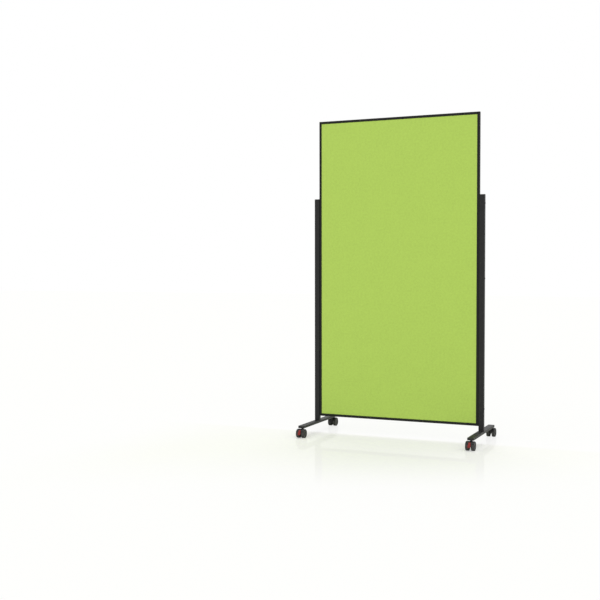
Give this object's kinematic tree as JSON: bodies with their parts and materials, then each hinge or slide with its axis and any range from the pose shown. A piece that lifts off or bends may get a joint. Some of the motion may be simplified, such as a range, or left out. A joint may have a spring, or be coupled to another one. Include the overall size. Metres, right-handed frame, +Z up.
{
  "type": "mobile pinboard",
  "caption": "Tall two-sided felt pinboard in a slim black frame, bolted between two posts on flat base bars with braked twin-wheel casters.",
  "frame": {"origin": "on the floor, midway between the two posts and under the middle of the board's thickness", "axes": "+X to the right of a person who faces the front felt, +Y to the back, +Z up"},
  "size_m": [1.0816, 0.543, 1.9],
  "materials": {
    "felt": "short matt needle felt",
    "core_board": "raw soft fibreboard",
    "frame_black": "black satin coat on aluminium channel",
    "key_zinc": "plain",
    "post_coat": "fine textured charcoal powder coat",
    "bar_coat": "fine textured charcoal powder coat",
    "cap_plastic": "matt moulded",
    "fastener_black": "black zinc",
    "caster_zinc": "black zinc plated",
    "hood_nylon": "moulded nylon",
    "wheel_nylon": "moulded nylon",
    "tyre_rubber": "soft tread",
    "pedal_red": "moulded, dull red"
  },
  "bodies": {
    "stand": {"board_core": "core_board", "felt_front": "felt", "felt_back": "felt", "frame_rail_bottom": "frame_black", "frame_rail_top": "frame_black", "frame_rail_left": "frame_black", "frame_rail_right": "frame_black", "corner_key_bottom_left": "key_zinc", "corner_key_bottom_right": "key_zinc", "corner_key_top_right": "key_zinc", "corner_key_top_left": "key_zinc", "post_left": "post_coat", "post_cap_left": "cap_plastic", "post_foot_left": "fastener_black", "base_bar_left": "bar_coat", "foot_screw_left_1": "fastener_black", "foot_screw_left_2": "fastener_black", "board_bolt_left_low": "fastener_black", "board_bolt_left_middle": "fastener_black", "board_bolt_left_top": "fastener_black", "post_right": "post_coat", "post_cap_right": "cap_plastic", "post_foot_right": "fastener_black", "base_bar_right": "bar_coat", "foot_screw_right_1": "fastener_black", "foot_screw_right_2": "fastener_black", "board_bolt_right_low": "fastener_black", "board_bolt_right_middle": "fastener_black", "board_bolt_right_top": "fastener_black", "stem_front_left": "caster_zinc", "stem_front_right": "caster_zinc", "stem_back_left": "caster_zinc", "stem_back_right": "caster_zinc"},
    "caster_front_left": {"hood_front_left": "hood_nylon", "axle_front_left": "caster_zinc"},
    "roller_front_left_outer": {"wheel_front_left_outer": "wheel_nylon", "tyre_front_left_outer": "tyre_rubber"},
    "roller_front_left_inner": {"wheel_front_left_inner": "wheel_nylon", "tyre_front_left_inner": "tyre_rubber"},
    "caster_front_right": {"hood_front_right": "hood_nylon", "axle_front_right": "caster_zinc"},
    "roller_front_right_outer": {"wheel_front_right_outer": "wheel_nylon", "tyre_front_right_outer": "tyre_rubber"},
    "roller_front_right_inner": {"wheel_front_right_inner": "wheel_nylon", "tyre_front_right_inner": "tyre_rubber"},
    "caster_back_left": {"hood_back_left": "hood_nylon", "axle_back_left": "caster_zinc"},
    "roller_back_left_outer": {"wheel_back_left_outer": "wheel_nylon", "tyre_back_left_outer": "tyre_rubber"},
    "roller_back_left_inner": {"wheel_back_left_inner": "wheel_nylon", "tyre_back_left_inner": "tyre_rubber"},
    "caster_back_right": {"hood_back_right": "hood_nylon", "axle_back_right": "caster_zinc"},
    "roller_back_right_outer": {"wheel_back_right_outer": "wheel_nylon", "tyre_back_right_outer": "tyre_rubber"},
    "roller_back_right_inner": {"wheel_back_right_inner": "wheel_nylon", "tyre_back_right_inner": "tyre_rubber"},
    "brake_left": {"brake_pedal_left": "pedal_red"},
    "brake_right": {"brake_pedal_right": "pedal_red"}
  },
  "joints": [
    {"name": "swivel_front_left", "type": "hinge", "parent": "stand", "child": "caster_front_left", "pos_m": [-0.5153, -0.222, 0.055], "axis": [0, 0, 1], "continuous": true},
    {"name": "roll_front_left_outer", "type": "hinge", "parent": "caster_front_left", "child": "roller_front_left_outer", "pos_m": [-0.53155, -0.24, 0.025], "axis": [1, 0, 0], "continuous": true},
    {"name": "roll_front_left_inner", "type": "hinge", "parent": "caster_front_left", "child": "roller_front_left_inner", "pos_m": [-0.49905, -0.24, 0.025], "axis": [1, 0, 0], "continuous": true},
    {"name": "swivel_front_right", "type": "hinge", "parent": "stand", "child": "caster_front_right", "pos_m": [0.5153, -0.222, 0.055], "axis": [0, 0, 1], "continuous": true},
    {"name": "roll_front_right_outer", "type": "hinge", "parent": "caster_front_right", "child": "roller_front_right_outer", "pos_m": [0.53155, -0.24, 0.025], "axis": [1, 0, 0], "continuous": true},
    {"name": "roll_front_right_inner", "type": "hinge", "parent": "caster_front_right", "child": "roller_front_right_inner", "pos_m": [0.49905, -0.24, 0.025], "axis": [1, 0, 0], "continuous": true},
    {"name": "swivel_back_left", "type": "hinge", "parent": "stand", "child": "caster_back_left", "pos_m": [-0.5153, 0.222, 0.055], "axis": [0, 0, 1], "continuous": true},
    {"name": "roll_back_left_outer", "type": "hinge", "parent": "caster_back_left", "child": "roller_back_left_outer", "pos_m": [-0.53155, 0.24, 0.025], "axis": [1, 0, 0], "continuous": true},
    {"name": "roll_back_left_inner", "type": "hinge", "parent": "caster_back_left", "child": "roller_back_left_inner", "pos_m": [-0.49905, 0.24, 0.025], "axis": [1, 0, 0], "continuous": true},
    {"name": "swivel_back_right", "type": "hinge", "parent": "stand", "child": "caster_back_right", "pos_m": [0.5153, 0.222, 0.055], "axis": [0, 0, 1], "continuous": true},
    {"name": "roll_back_right_outer", "type": "hinge", "parent": "caster_back_right", "child": "roller_back_right_outer", "pos_m": [0.53155, 0.24, 0.025], "axis": [1, 0, 0], "continuous": true},
    {"name": "roll_back_right_inner", "type": "hinge", "parent": "caster_back_right", "child": "roller_back_right_inner", "pos_m": [0.49905, 0.24, 0.025], "axis": [1, 0, 0], "continuous": true},
    {"name": "brake_press_left", "type": "hinge", "parent": "caster_front_left", "child": "brake_left", "pos_m": [-0.5153, -0.25189, 0.03917], "axis": [1, 0, 0], "range_deg": [0, 15]},
    {"name": "brake_press_right", "type": "hinge", "parent": "caster_front_right", "child": "brake_right", "pos_m": [0.5153, -0.25189, 0.03917], "axis": [1, 0, 0], "range_deg": [0, 15]}
  ]
}
